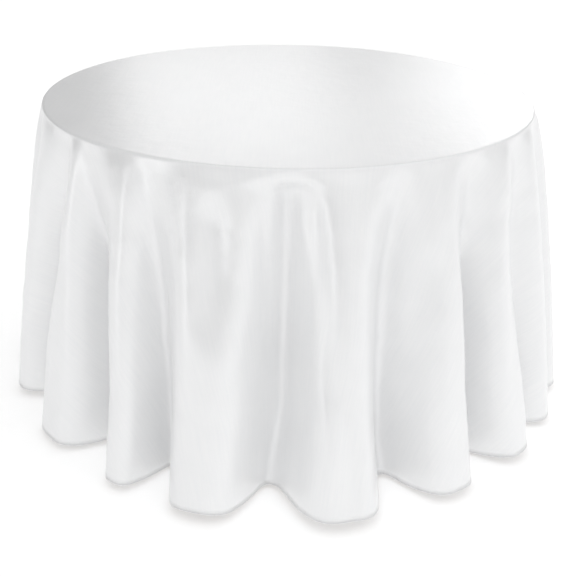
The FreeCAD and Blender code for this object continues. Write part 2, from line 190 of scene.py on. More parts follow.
def outline(level, depth, dented=True):
    """The cloth's radius at each bearing of the grid, those bearings, and the fold at each."""
    crest, hollow = marks(level)
    after = closed_crests(level)[1:]
    bearing = crest[0] + (GRID - GRID[0])
    fold = np.minimum(np.searchsorted(after, bearing, side="right"), len(FOLDS) - 1)
    flare = FLARES * level ** FLARE_POWER
    sharpen = ease(level / SHARP_FULL)
    sharp_in = SHARP_TOP + sharpen * (SHARP_IN[fold] - SHARP_TOP)
    sharp_out = SHARP_TOP + sharpen * (SHARP_OUT[fold] - SHARP_TOP)
    inward = (bearing - crest[fold]) / (hollow[fold] - crest[fold])
    outward = (after[fold] - bearing) / (after[fold] - hollow[fold])
    swing = np.where(inward < 1, (0.5 - 0.5 * np.cos(np.pi * np.clip(inward, 0, 1))) ** sharp_in,
                     (0.5 - 0.5 * np.cos(np.pi * np.clip(outward, 0, 1))) ** sharp_out)
    along = (bearing - crest[fold]) / (after[fold] - crest[fold])
    stand = flare[fold] * (1 - along) + np.roll(flare, -1)[fold] * along
    radius = EDGE + CLOTH_GAP + CLOTH_THICK + stand - depth[fold] * swing
    for deep, wide, start, end, line in DENTS if dented else ():
        if start < level < end:
            where = np.interp(level, [p[0] for p in line], [p[1] for p in line])
            fade = ease((level - start) / DENT_FADE_IN) * ease((end - level) / DENT_FADE_OUT)
            off = (bearing - where + 180) % 360 - 180
            radius = radius - deep * fade * np.exp(-(off / wide) ** 2)
    return soften(radius), bearing, fold


def fold_lengths(level, depth, dented=False):
    """Length of the outline within each fold, and the outline's steps, x and y."""
    radius, bearing, fold = outline(level, depth, dented)
    turn = np.radians(bearing)
    x, y = radius * np.sin(turn), -radius * np.cos(turn)
    steps = np.hypot(np.roll(x, -1) - x, np.roll(y, -1) - y)
    return np.bincount(fold, steps, len(FOLDS)), steps, x, y


def fit_depth(level, wanted, depth, most):
    """How deep each hollow has to be for each fold's outline to be as long as its fabric."""
    probe = 0.004                             # a small change of depth that shows the slope
    for _ in range(12):
        now = fold_lengths(level, depth)[0]
        slope = np.maximum((fold_lengths(level, depth + probe)[0] - now) / probe, 0.4)
        depth = np.clip(depth + 0.8 * np.clip((wanted - now) / slope, -0.03, 0.03), 0.0, most)
    return depth


def hem_shares():
    """Where each fold starts in the fabric, half by bearing and half by the hem's outline."""
    depth = np.full(len(FOLDS), 0.15)
    crest = closed_crests(1.0)
    gaps = np.radians(np.diff(crest))
    for _ in range(6):
        share = fold_lengths(1.0, depth)[0]
        fabric = 0.5 * gaps + 0.5 * share / share.sum() * 2 * math.pi
        depth = fit_depth(1.0, CLOTH_RADIUS * fabric, depth, DEEPEST)
    starts = np.radians(crest[0]) + np.concatenate([[0], np.cumsum(fabric)])
    return starts - (starts.mean() - np.radians(crest).mean())


def draped_rings():
    """Rings of the cloth from its middle to the hem: flat radius, flat points and draped points."""
    spin = np.radians(marks(0.0)[0][0]) + 2 * np.pi * (np.arange(SECTORS) + 0.5) / SECTORS
    lie = TOP + CLOTH_GAP + CLOTH_THICK
    shoulder = EDGE + CLOTH_GAP + CLOTH_THICK - TURN
    turn_length = TURN * math.pi / 2
    drop_start = shoulder + turn_length
    rings = []

    def ring(flat_radius, x, y, z):
        flat = np.stack([flat_radius * np.sin(spin), -flat_radius * np.cos(spin),
                         np.full(SECTORS, lie)], 1)
        rings.append((flat_radius, flat, np.stack([x, y, z], 1)))

    for radius in (*TOP_RADII, shoulder):
        ring(radius, radius * np.sin(spin), -radius * np.cos(spin), np.full(SECTORS, lie))
    for share in (1 / 3, 2 / 3, 1.0):
        angle = share * math.pi / 2
        radius = shoulder + TURN * math.sin(angle)
        ring(shoulder + share * turn_length, radius * np.sin(spin), -radius * np.cos(spin),
             np.full(SECTORS, lie - TURN * (1 - math.cos(angle))))

    hem_marks = hem_shares()
    depth = np.full(len(FOLDS), 0.01)
    last = rings[-1][2]
    for step in range(1, DROP_RINGS + 1):
        level = (step / DROP_RINGS) ** DROP_CROWD
        flat_radius = drop_start + (CLOTH_RADIUS - drop_start) * level
        shift = ease(level / SHIFT_FULL)
        at = np.radians(closed_crests(level)) * (1 - shift) + hem_marks * shift
        smooth = fold_lengths(level, np.zeros(len(FOLDS)))[0]
        wanted = flat_radius * np.diff(at)
        wanted = smooth + (wanted - smooth) * ease(SLACK_START + level / SLACK_SPREAD)
        most = min(DEEPEST, 0.14 * level ** FLARE_POWER + max(0.0, level - 0.03) * 0.7)
        depth = fit_depth(level, wanted, depth, most)
        lengths, steps, x, y = fold_lengths(level, depth, dented=True)
        spots = np.concatenate([[0], np.cumsum(lengths)])
        walked = np.concatenate([[0], np.cumsum(steps)])
        whole = spots[-1]
        unrolled = (spin - at[0]) % (2 * np.pi) + at[0]
        place = np.interp(unrolled, at, spots) % whole
        px = np.interp(place, walked, np.append(x, x[0]))
        py = np.interp(place, walked, np.append(y, y[0]))
        fall = flat_radius - rings[-1][0]
        slide = (px - last[:, 0]) ** 2 + (py - last[:, 1]) ** 2
        z = last[:, 2] - np.sqrt(np.maximum(fall ** 2 - slide, (STEEPEST * fall) ** 2))
        last = np.stack([px, py, z], 1)
        ring(flat_radius, px, py, z)
    return rings


def ring_faces(rings, sectors, start=0):
    """Quads between rings of points that follow each other in one list."""
    return [(start + k * sectors + i, start + (k + 1) * sectors + i,
             start + (k + 1) * sectors + (i + 1) % sectors, start + k * sectors + (i + 1) % sectors)
            for k in range(rings - 1) for i in range(sectors)]


def add_object(name, points, faces):
    """A mesh object at the origin."""
    mesh = bpy.data.meshes.new(name)
    mesh.from_pydata(np.asarray(points).tolist(), [], faces)
    made = bpy.data.objects.new(name, mesh)
    bpy.context.scene.collection.objects.link(made)
    return made


def table_stand_in():
    """A disc with a rounded edge that the cloth is settled on, and that is removed after."""
    ease_radius = 0.003
    profile = [(0.3, TOP), (EDGE - ease_radius, TOP)]
    profile += [(EDGE - ease_radius * (1 - math.sin(a)), TOP - ease_radius * (1 - math.cos(a)))
                for a in np.radians([22.5, 45, 67.5, 90])]
    profile += [(EDGE, TOP - 0.018), (0.3, TOP - 0.018)]
    sides = 240
    points = [(r * math.sin(2 * math.pi * i / sides), -r * math.cos(2 * math.pi * i / sides), z)
              for r, z in profile for i in range(sides)]
    stand_in = add_object("stand_in", points, ring_faces(len(profile), sides))
    stand_in.modifiers.new("collision", "COLLISION")
    stand_in.collision.thickness_outer = CLOTH_GAP
    stand_in.collision.cloth_friction = 5
    return stand_in


def settle(flat, draped):
    """Lets the draped rings settle under their own weight. Both arrays are rings x sectors x 3."""
    count = len(draped)
    cloth = add_object("settling", draped.reshape(-1, 3), ring_faces(count, SECTORS))
    cloth.shape_key_add(name="Basis")
    rest = cloth.shape_key_add(name="flat")
    rest.data.foreach_set("co", flat.astype(np.float32).ravel())
    rest.value = 0
    held = cloth.vertex_groups.new(name="held")
    for k in range(count):
        weight = 1.0 if k < HELD_RINGS else HOLD
        held.add(list(range(k * SECTORS, (k + 1) * SECTORS)), weight, "REPLACE")
    stand_in = table_stand_in()
    sim = cloth.modifiers.new("cloth", "CLOTH")
    s = sim.settings
    s.quality = 5
    s.mass = 0.3
    s.air_damping = 1
    s.tension_stiffness = s.compression_stiffness = 25
    s.shear_stiffness = 5
    s.bending_model = "ANGULAR"
    s.bending_stiffness = BENDING
    s.tension_damping = s.compression_damping = s.shear_damping = 5
    s.bending_damping = 0.5
    s.vertex_group_mass = "held"
    s.pin_stiffness = 1
    s.rest_shape_key = rest
    sim.collision_settings.use_collision = True
    sim.collision_settings.distance_min = 0.001
    sim.point_cache.frame_start = 1
    sim.point_cache.frame_end = SIM_FRAMES
    scene = bpy.context.scene
    scene.frame_start = 1
    scene.frame_end = SIM_FRAMES
    for f in range(1, SIM_FRAMES + 1):
        scene.frame_set(f)
    mesh = cloth.evaluated_get(bpy.context.evaluated_depsgraph_get()).to_mesh()
    points = np.empty(len(mesh.vertices) * 3, np.float32)
    mesh.vertices.foreach_get("co", points)
    scene.frame_set(1)
    bpy.data.objects.remove(stand_in)
    bpy.data.objects.remove(cloth)
    return points.reshape(count, SECTORS, 3).astype(float)


def halfway(points, spans):
    """Points on a smooth curve half way between each row and the next, the rows being spans apart."""
    climb = (points[1:] - points[:-1]) / spans[:, None, None]
    inner = (climb[:-1] * spans[1:, None, None] + climb[1:] * spans[:-1, None, None])
    inner /= (spans[1:] + spans[:-1])[:, None, None]
    slope = np.concatenate([climb[:1], inner, climb[-1:]])
    return (points[1:] + points[:-1]) / 2 + spans[:, None, None] * (slope[:-1] - slope[1:]) / 8


def finer(points, radii):
    """Twice as many rings and twice as many sectors, on the same smooth surface."""
    spans = np.diff(radii)
    rows = np.empty((2 * len(points) - 1, points.shape[1], 3))
    rows[::2], rows[1::2] = points, halfway(points, spans)
    before, after, later = np.roll(rows, 1, 1), np.roll(rows, -1, 1), np.roll(rows, -2, 1)
    grid = np.empty((len(rows), 2 * rows.shape[1], 3))
    grid[:, ::2], grid[:, 1::2] = rows, (9 * rows + 9 * after - before - later) / 16
    return grid


def normals_of(grid):
    """Outward normals of a grid of rings."""
    around = np.roll(grid, -1, 1) - np.roll(grid, 1, 1)
    down = np.gradient(grid, axis=0)
    normal = np.cross(down, around)
    return normal / np.linalg.norm(normal, axis=2, keepdims=True)


def small_wrinkles(grid, flat):
    """Adds the faint unevenness of a cloth that has been folded and handled, on the drop only."""
    draw = np.random.RandomState(11)
    height = np.zeros(grid.shape[:2])
    for _ in range(26):
        heading, wave = draw.uniform(0, math.pi), draw.uniform(0.035, 0.12)
        phase = draw.uniform(0, 2 * math.pi)
        along = flat[..., 0] * math.cos(heading) + flat[..., 1] * math.sin(heading)
        height += wave * np.sin(2 * math.pi / wave * along + phase)
    height *= WRINKLE / height.std()
    on_drop = ease((np.hypot(flat[..., 0], flat[..., 1]) - EDGE - 0.03) / 0.15)
    return grid + normals_of(grid) * (height * on_drop)[..., None]


def lay_out(piece, spread):
    """Gives a piece its flat shape, in metres, as a UV map, and smooth shading."""
    mesh = piece.data
    corner_vertex = np.empty(len(mesh.loops), int)
    mesh.loops.foreach_get("vertex_index", corner_vertex)
    layer = mesh.uv_layers.new(name="flat")
    layer.data.foreach_set("uv", spread[corner_vertex].astype(np.float32).ravel())
    mesh.polygons.foreach_set("use_smooth", [True] * len(mesh.polygons))


def cloth_piece():
    """The tablecloth: its draped and settled surface, with its flat shape as a UV map in metres."""
    rings = draped_rings()
    radii = np.array([r[0] for r in rings])
    flat = np.stack([r[1] for r in rings])
    draped = np.stack([r[2] for r in rings])
    settled = settle(flat[TOP_RINGS:], draped[TOP_RINGS:])
    draped[TOP_RINGS:] += SETTLE * (settled - draped[TOP_RINGS:])
    grid, flat = finer(draped, radii), finer(flat, radii)
    grid = small_wrinkles(grid, flat)
    sectors = grid.shape[1]
    middle = [[0, 0, grid[0, 0, 2]]]
    fan = [(0, 1 + i, 1 + (i + 1) % sectors) for i in range(sectors)]
    cloth = add_object("cloth_drape", np.concatenate([middle, grid.reshape(-1, 3)]),
                       fan + ring_faces(len(grid), sectors, 1))
    lay_out(cloth, np.concatenate([middle, flat.reshape(-1, 3)])[:, :2])
    thick = cloth.modifiers.new("thickness", "SOLIDIFY")
    thick.thickness = CLOTH_THICK
    thick.offset = -1
    return cloth, grid


def hem_piece(grid):
    """The turned hem, a flat tube round the cloth's edge and up its inner face, and its stitch line."""
    out = normals_of(grid)[-1]
    up = grid[-2] - grid[-1]
    up /= np.linalg.norm(up, axis=1, keepdims=True)
    high = HEM_HIGH * 1000
    # the tube's section in millimetres: up the cloth from its edge, and out from its outer face
    section = [(0.9, 0.18), (0.2, 0.28), (-0.5, 0.0), (-0.8, -0.7), (-0.5, -1.4), (0.8, -1.8),
               (6.0, -1.9), (high - 0.4, -1.75), (high, -1.3), (high - 0.3, -0.65), (6.0, -0.62),
               (1.2, -0.6)]
    rows = [grid[-1] + up * a / 1000 + out * b / 1000 for a, b in section]
    sectors = grid.shape[1]
    last = (len(rows) - 1) * sectors
    closing = [(last + i, i, (i + 1) % sectors, last + (i + 1) % sectors) for i in range(sectors)]
    hem = add_object("cloth_hem", np.concatenate(rows), ring_faces(len(rows), sectors) + closing)
    spin = 2 * math.pi * np.arange(sectors) / sectors
    spread = [np.stack([(CLOTH_RADIUS - a / 1000) * np.sin(spin),
                        -(CLOTH_RADIUS - a / 1000) * np.cos(spin)], 1) for a, b in section]
    lay_out(hem, np.concatenate(spread))
    return hem, grid[-1] + up * (HEM_HIGH - 0.002) + out * 0.0001


def tree_input(tree, name, kind, value=None):
    """A named input of a node tree."""
    socket = tree.interface.new_socket(name, in_out="INPUT", socket_type=kind)
    if value is not None:
        socket.default_value = value
    return socket.identifier


def feed(tree, socket, value):
    """Links an input to another node's output, or gives it a plain value."""
    if isinstance(value, bpy.types.NodeSocket):
        tree.links.new(value, socket)
    else:
        socket.default_value = value


def add(tree, kind, inputs=None, **settings):
    """A node with its settings made and its inputs given or linked."""
    made = tree.nodes.new(kind)
    for name, value in settings.items():
        setattr(made, name, value)
    for name, value in (inputs or {}).items():
        feed(tree, made.inputs[name], value)
    return made


def stitch_piece(line, thread):
    """The hem's row of stitches: a short thread end to end along the line."""
    count = len(line)
    seam = bpy.data.meshes.new("seam")
    seam.from_pydata(line.tolist(), [(i, (i + 1) % count) for i in range(count)], [])
    row = bpy.data.objects.new("hem_stitches", seam)
    bpy.context.scene.collection.objects.link(row)
    tree = bpy.data.node_groups.new("stitch_row", "GeometryNodeTree")
    tree.interface.new_socket("Geometry", in_out="INPUT", socket_type="NodeSocketGeometry")
    pitch = tree_input(tree, "Pitch", "NodeSocketFloat")
    length = tree_input(tree, "Stitch length", "NodeSocketFloat")
    radius = tree_input(tree, "Thread radius", "NodeSocketFloat")
    finish = tree_input(tree, "Thread", "NodeSocketMaterial")
    tree.interface.new_socket("Geometry", in_out="OUTPUT", socket_type="NodeSocketGeometry")
    given = add(tree, "NodeGroupInput")
    curve = add(tree, "GeometryNodeMeshToCurve", {"Mesh": given.outputs["Geometry"]})
    even = add(tree, "GeometryNodeResampleCurve",
               {"Curve": curve.outputs["Curve"], "Length": given.outputs["Pitch"]}, mode="LENGTH")
    tangent = add(tree, "GeometryNodeInputTangent")
    lie = add(tree, "FunctionNodeAlignRotationToVector", {"Vector": tangent.outputs["Tangent"]},
              axis="Z")
    thread_end = add(tree, "GeometryNodeMeshUVSphere",
                     {"Segments": 6, "Rings": 4, "Radius": given.outputs["Thread radius"]})
    ratio = add(tree, "ShaderNodeMath",
                {0: given.outputs["Stitch length"], 1: given.outputs["Thread radius"]},
                operation="DIVIDE")
    half = add(tree, "ShaderNodeMath", {0: ratio.outputs[0], 1: 0.5}, operation="MULTIPLY")
    size = add(tree, "ShaderNodeCombineXYZ", {"X": 1.0, "Y": 1.0, "Z": half.outputs[0]})
    placed = add(tree, "GeometryNodeInstanceOnPoints",
                 {"Points": even.outputs["Curve"], "Instance": thread_end.outputs["Mesh"],
                  "Rotation": lie.outputs["Rotation"], "Scale": size.outputs["Vector"]})
    real = add(tree, "GeometryNodeRealizeInstances", {"Geometry": placed.outputs["Instances"]})
    dressed = add(tree, "GeometryNodeSetMaterial", {"Geometry": real.outputs["Geometry"],
                                                    "Material": given.outputs["Thread"]})
    add(tree, "NodeGroupOutput", {"Geometry": dressed.outputs["Geometry"]})
    rule = row.modifiers.new("stitches", "NODES")
    rule.node_group = tree
    rule[pitch] = STITCH_PITCH
    rule[length] = STITCH_LONG
    rule[radius] = THREAD_RADIUS
    rule[finish] = thread
    made = bpy.data.meshes.new_from_object(row.evaluated_get(bpy.context.evaluated_depsgraph_get()))
    row.modifiers.clear()
    row.data = made
    return row


# ---------------------------------------------------------------------------------------------
# Shared effects, as shader node groups
# ---------------------------------------------------------------------------------------------
def effect(name, inputs, outputs):
    """A shader node group with named inputs, given as name: default, and named outputs."""
    tree = bpy.data.node_groups.new(name, "ShaderNodeTree")
    kinds = {float: "NodeSocketFloat", tuple: "NodeSocketColor"}
    for label, value in inputs.items():
        if label == "Vector":
            tree.interface.new_socket(label, in_out="INPUT", socket_type="NodeSocketVector")
        else:
            tree_input(tree, label, kinds[type(value)], value)
    for label, kind in outputs.items():
        tree.interface.new_socket(label, in_out="OUTPUT", socket_type=kind)
    return tree, add(tree, "NodeGroupInput").outputs


def remap(tree, value, low, high, to_low, to_high):
    """A value brought from one range to another, kept inside it."""
    return add(tree, "ShaderNodeMapRange", {"Value": value, "From Min": low, "From Max": high,
                                            "To Min": to_low, "To Max": to_high}).outputs["Result"]


def blend_colour(tree, share, first, second):
    """Two colours mixed by a share."""
    mix = add(tree, "ShaderNodeMix", data_type="RGBA")
    for place, value in ((0, share), (6, first), (7, second)):
        feed(tree, mix.inputs[place], value)
    return mix.outputs[2]


def mottle_effect():
    """Soft uneven patches, from Low to High."""
    tree, given = effect("mottle", {"Vector": None, "Scale": 5.0, "Low": 0.0, "High": 1.0},
                         {"Value": "NodeSocketFloat"})
    noise = add(tree, "ShaderNodeTexNoise", {"Vector": given["Vector"], "Scale": given["Scale"],
                                             "Detail": 4.0, "Roughness": 0.55})
    value = remap(tree, noise.outputs["Fac"], 0.3, 0.7, given["Low"], given["High"])
    add(tree, "NodeGroupOutput", {"Value": value})
    return tree


def weave_effect():
    """Crossed threads with the long floats of a satin along the warp, and their unevenness."""
    tree, given = effect("weave", {"Vector": None, "Threads per metre": 1200.0},
                         {"Height": "NodeSocketFloat", "Slub": "NodeSocketFloat"})
    turned = add(tree, "ShaderNodeMapping", {"Vector": given["Vector"],
                                             "Rotation": (0, 0, math.radians(90))})
    warp, weft = (add(tree, "ShaderNodeTexWave",
                      {"Vector": source, "Scale": given["Threads per metre"], "Distortion": 0.0},
                      bands_direction="X")
                  for source in (given["Vector"], turned.outputs["Vector"]))
    low = add(tree, "ShaderNodeMath", {0: weft.outputs["Fac"], 1: 0.35}, operation="MULTIPLY")
    cross = add(tree, "ShaderNodeMath", {0: warp.outputs["Fac"], 1: low.outputs[0]}, operation="ADD")
    drawn = add(tree, "ShaderNodeMapping", {"Vector": given["Vector"], "Scale": (260.0, 9.0, 1.0)})
    slub = add(tree, "ShaderNodeTexNoise", {"Vector": drawn.outputs["Vector"], "Scale": 1.0,
                                            "Detail": 3.0})
    add(tree, "NodeGroupOutput", {"Height": cross.outputs[0], "Slub": slub.outputs["Fac"]})
    return tree


def grain_effect():
    """Wood: growth lines along X between two colours, with fine pores."""
    tree, given = effect("wood_grain", {"Vector": None, "Pale": (0.7, 0.55, 0.38, 1.0),
                                        "Dark": (0.5, 0.35, 0.2, 1.0), "Lines": 40.0},
                         {"Colour": "NodeSocketColor", "Height": "NodeSocketFloat"})
    drawn = add(tree, "ShaderNodeMapping", {"Vector": given["Vector"], "Scale": (0.12, 1.0, 1.0)})
    lines = add(tree, "ShaderNodeTexWave", {"Vector": drawn.outputs["Vector"], "Scale": given["Lines"],
                                            "Distortion": 9.0, "Detail": 3.0, "Detail Scale": 0.7},
                bands_direction="Y")
    fine = add(tree, "ShaderNodeMapping", {"Vector": given["Vector"], "Scale": (14.0, 500.0, 500.0)})
    pores = add(tree, "ShaderNodeTexNoise", {"Vector": fine.outputs["Vector"], "Scale": 1.0, "Detail": 4.0})
    mixed = add(tree, "ShaderNodeMath", {0: lines.outputs["Fac"], 1: pores.outputs["Fac"]},
                operation="MULTIPLY")
    paleness = remap(tree, mixed.outputs[0], 0.05, 0.6, 0.0, 1.0)
    colour = blend_colour(tree, paleness, given["Dark"], given["Pale"])
    add(tree, "NodeGroupOutput", {"Colour": colour, "Height": mixed.outputs[0]})
    return tree


def brushed_effect():
    """Fine lines along Z left by rolling or brushing metal."""
    tree, given = effect("brushed", {"Vector": None, "Across": 900.0}, {"Value": "NodeSocketFloat"})
    drawn = add(tree, "ShaderNodeMapping", {"Vector": given["Vector"], "Scale": (1.0, 1.0, 0.03)})
    lines = add(tree, "ShaderNodeTexNoise", {"Vector": drawn.outputs["Vector"], "Scale": given["Across"],
                                             "Detail": 2.0})
    add(tree, "NodeGroupOutput", {"Value": lines.outputs["Fac"]})
    return tree


def scuff_effect():
    """A mask of small rubbed marks; Amount is the share of the surface that they take."""
    tree, given = effect("scuffs", {"Vector": None, "Scale": 60.0, "Amount": 0.1},
                         {"Mask": "NodeSocketFloat"})
    rubs = add(tree, "ShaderNodeTexNoise", {"Vector": given["Vector"], "Scale": given["Scale"],
                                            "Detail": 6.0, "Roughness": 0.7})
    limit = add(tree, "ShaderNodeMath", {0: 0.75, 1: given["Amount"]}, operation="SUBTRACT")
    mask = add(tree, "ShaderNodeMapRange", {"Value": rubs.outputs["Fac"],
                                            "From Min": limit.outputs[0], "From Max": 0.8})
    add(tree, "NodeGroupOutput", {"Mask": mask.outputs["Result"]})
    return tree


MOTTLE = mottle_effect()
WEAVE = weave_effect()
GRAIN = grain_effect()
BRUSHED = brushed_effect()
SCUFFS = scuff_effect()


# ---------------------------------------------------------------------------------------------
# Materials
# ---------------------------------------------------------------------------------------------
def new_material(name, **sockets):
    """A material, its tree and its Principled shader; a space in a socket's name is given as _."""
    made = bpy.data.materials.new(name)
    made.use_nodes = True
    shader = made.node_tree.nodes["Principled BSDF"]
    for label, value in sockets.items():
        shader.inputs[label.replace("_", " ")].default_value = value
    return made, made.node_tree, shader


def use(tree, group, inputs):
    """A shared effect placed in a material."""
    made = add(tree, "ShaderNodeGroup", node_tree=group)
    for name, value in inputs.items():
        feed(tree, made.inputs[name], value)
    return made.outputs


def bump(tree, shader, height, strength, distance, under=None):
    """Feeds the shader's normal from a height, over the normal under it if there is one."""
    made = add(tree, "ShaderNodeBump", {"Height": height, "Strength": strength, "Distance": distance})
    if under is not None:
        tree.links.new(under, made.inputs["Normal"])
    tree.links.new(made.outputs["Normal"], shader.inputs["Normal"])
    return made.outputs["Normal"]


def satin_material():
    """White satin: long bright floats, a fine weave and the faint marks of folding."""
    made, tree, shader = new_material("white_satin", Metallic=SATIN_METAL, Sheen_Weight=0.2,
                                      Sheen_Roughness=0.4, Sheen_Tint=(1, 1, 1, 1),
                                      Specular_IOR_Level=0.6)
    spread = add(tree, "ShaderNodeUVMap", uv_map="flat").outputs["UV"]
    weave = use(tree, WEAVE, {"Vector": spread, "Threads per metre": 520.0})
    patches = use(tree, MOTTLE, {"Vector": spread, "Scale": 6.0, "Low": 0.0, "High": 1.0})["Value"]
    slub = remap(tree, weave["Slub"], 0.35, 0.65, 0.0, 1.0)
    colour = blend_colour(tree, patches, SATIN_LOW, SATIN_HIGH)
    faint = add(tree, "ShaderNodeMath", {0: slub, 1: 0.35}, operation="MULTIPLY")
    colour = blend_colour(tree, faint.outputs[0], colour, (0.86, 0.87, 0.885, 1))
    tree.links.new(colour, shader.inputs["Base Color"])
    gloss = add(tree, "ShaderNodeMath", {0: remap(tree, patches, 0.0, 1.0, 0.285, 0.32),
                                         1: remap(tree, slub, 0, 1, 0, 0.03)}, operation="ADD")
    tree.links.new(gloss.outputs[0], shader.inputs["Roughness"])
    creases = use(tree, MOTTLE, {"Vector": spread, "Scale": 26.0, "Low": 0.0, "High": 1.0})["Value"]
    first = bump(tree, shader, creases, 0.5, 0.0008)
    bump(tree, shader, weave["Height"], 0.2, 0.00003, first)
    return made


def thread_material():
    """Sewing thread, twisted."""
    made, tree, shader = new_material("sewing_thread", Sheen_Weight=0.2)
    place = add(tree, "ShaderNodeTexCoord").outputs["Object"]
    twist = add(tree, "ShaderNodeTexWave", {"Vector": place, "Scale": 900.0}, bands_direction="DIAGONAL")
    tree.links.new(blend_colour(tree, twist.outputs["Fac"], (0.78, 0.78, 0.78, 1), (0.88, 0.88, 0.88, 1)),
                   shader.inputs["Base Color"])
    tree.links.new(remap(tree, twist.outputs["Fac"], 0, 1, 0.45, 0.6), shader.inputs["Roughness"])
    bump(tree, shader, twist.outputs["Fac"], 0.6, 0.0001)
    return made


def plywood_material():
    """Birch plywood: faces with broad figure, and edges that show the plies."""
    made, tree, shader = new_material("plywood", Coat_Weight=0.15)
    place = add(tree, "ShaderNodeTexCoord").outputs["Object"]
    grain = use(tree, GRAIN, {"Vector": place, "Pale": (0.66, 0.49, 0.31, 1),
                              "Dark": (0.47, 0.31, 0.17, 1), "Lines": 14.0})
    plies = add(tree, "ShaderNodeTexWave", {"Vector": place, "Scale": 88.0}, bands_direction="Z")
    normal = add(tree, "ShaderNodeNewGeometry").outputs["Normal"]
    facing = add(tree, "ShaderNodeSeparateXYZ", {"Vector": normal})
    flatness = add(tree, "ShaderNodeMath", {0: facing.outputs["Z"]}, operation="ABSOLUTE")
    side = remap(tree, flatness.outputs[0], 0.3, 0.6, 1.0, 0.0)
    edge = blend_colour(tree, plies.outputs["Fac"], (0.36, 0.22, 0.12, 1), (0.68, 0.5, 0.32, 1))
    tree.links.new(blend_colour(tree, side, grain["Colour"], edge), shader.inputs["Base Color"])
    dull = use(tree, MOTTLE, {"Vector": place, "Scale": 9.0, "Low": 0.38, "High": 0.6})["Value"]
    tree.links.new(dull, shader.inputs["Roughness"])
    bump(tree, shader, grain["Height"], 0.3, 0.0003)
    return made


def batten_material():
    """Planed softwood under the top."""
    made, tree, shader = new_material("batten")
    place = add(tree, "ShaderNodeTexCoord").outputs["Object"]
    grain = use(tree, GRAIN, {"Vector": place, "Pale": (0.72, 0.55, 0.34, 1),
                              "Dark": (0.52, 0.33, 0.16, 1), "Lines": 60.0})
    dust = use(tree, MOTTLE, {"Vector": place, "Scale": 7.0, "Low": 0.0, "High": 0.25})["Value"]
    colour = blend_colour(tree, dust, grain["Colour"], (0.55, 0.48, 0.4, 1))
    tree.links.new(colour, shader.inputs["Base Color"])
    tree.links.new(remap(tree, grain["Height"], 0, 0.6, 0.5, 0.7), shader.inputs["Roughness"])
    bump(tree, shader, grain["Height"], 0.4, 0.0004)
    return made


def vinyl_material():
    """Dark vinyl moulding with a leathery grain and rubbed marks."""
    made, tree, shader = new_material("edge_vinyl", Specular_IOR_Level=0.45)
    place = add(tree, "ShaderNodeTexCoord").outputs["Object"]
    cells = add(tree, "ShaderNodeTexVoronoi", {"Vector": place, "Scale": 900.0})
    rubbed = use(tree, SCUFFS, {"Vector": place, "Scale": 45.0, "Amount": 0.12})["Mask"]
    tree.links.new(blend_colour(tree, rubbed, (0.055, 0.055, 0.06, 1), (0.16, 0.16, 0.16, 1)),
                   shader.inputs["Base Color"])
    tree.links.new(remap(tree, rubbed, 0, 1, 0.42, 0.62), shader.inputs["Roughness"])
    bump(tree, shader, cells.outputs["Distance"], 0.4, 0.0002)
    return made


def paint_material():
    """Stoved grey paint on tube, with a slight orange peel and bare steel where it is knocked."""
    made, tree, shader = new_material("leg_paint", Coat_Weight=0.3, Coat_Roughness=0.2)
    place = add(tree, "ShaderNodeTexCoord").outputs["Object"]
    chips = use(tree, SCUFFS, {"Vector": place, "Scale": 38.0, "Amount": 0.04})["Mask"]
    tone = use(tree, MOTTLE, {"Vector": place, "Scale": 4.0, "Low": 0.0, "High": 1.0})["Value"]
    paint = blend_colour(tree, tone, (0.085, 0.09, 0.095, 1), (0.125, 0.13, 0.135, 1))
    tree.links.new(blend_colour(tree, chips, paint, (0.5, 0.48, 0.45, 1)), shader.inputs["Base Color"])
    tree.links.new(chips, shader.inputs["Metallic"])
    tree.links.new(remap(tree, tone, 0, 1, 0.3, 0.42), shader.inputs["Roughness"])
    peel = add(tree, "ShaderNodeTexNoise", {"Vector": place, "Scale": 420.0, "Detail": 1.0})
    bump(tree, shader, peel.outputs["Fac"], 0.25, 0.0003)
    return made


def steel_material(name, pale, dark, rough_low, rough_high, across):
    """Plated or bright steel with rolling lines and a few marks."""
    made, tree, shader = new_material(name, Metallic=1.0)
    place = add(tree, "ShaderNodeTexCoord").outputs["Object"]
    lines = use(tree, BRUSHED, {"Vector": place, "Across": across})["Value"]
    worn = use(tree, SCUFFS, {"Vector": place, "Scale": 90.0, "Amount": 0.15})["Mask"]
    patches = use(tree, MOTTLE, {"Vector": place, "Scale": 22.0, "Low": 0.0, "High": 1.0})["Value"]
    tone = blend_colour(tree, patches, (*dark, 1), (*pale, 1))
    tree.links.new(blend_colour(tree, worn, tone, (0.3, 0.28, 0.25, 1)), shader.inputs["Base Color"])
    tree.links.new(remap(tree, lines, 0.3, 0.7, rough_low, rough_high), shader.inputs["Roughness"])
    bump(tree, shader, lines, 0.2, 0.0001)
    return made


def rubber_material():
    """Black rubber feet, dusty at the floor."""
    made, tree, shader = new_material("foot_rubber", Specular_IOR_Level=0.35)
    place = add(tree, "ShaderNodeTexCoord").outputs["Object"]
    height = add(tree, "ShaderNodeSeparateXYZ", {"Vector": place}).outputs["Z"]
    patches = use(tree, MOTTLE, {"Vector": place, "Scale": 60.0, "Low": 0.2, "High": 1.0})["Value"]
    low = remap(tree, height, 0.0, 0.012, 0.7, 0.05)
    dust = add(tree, "ShaderNodeMath", {0: low, 1: patches}, operation="MULTIPLY")
    tree.links.new(blend_colour(tree, dust.outputs[0], (0.02, 0.02, 0.021, 1), (0.24, 0.22, 0.2, 1)),
                   shader.inputs["Base Color"])
    tree.links.new(remap(tree, patches, 0.2, 1, 0.55, 0.8), shader.inputs["Roughness"])
    bump(tree, shader, patches, 0.3, 0.0003)
    return made


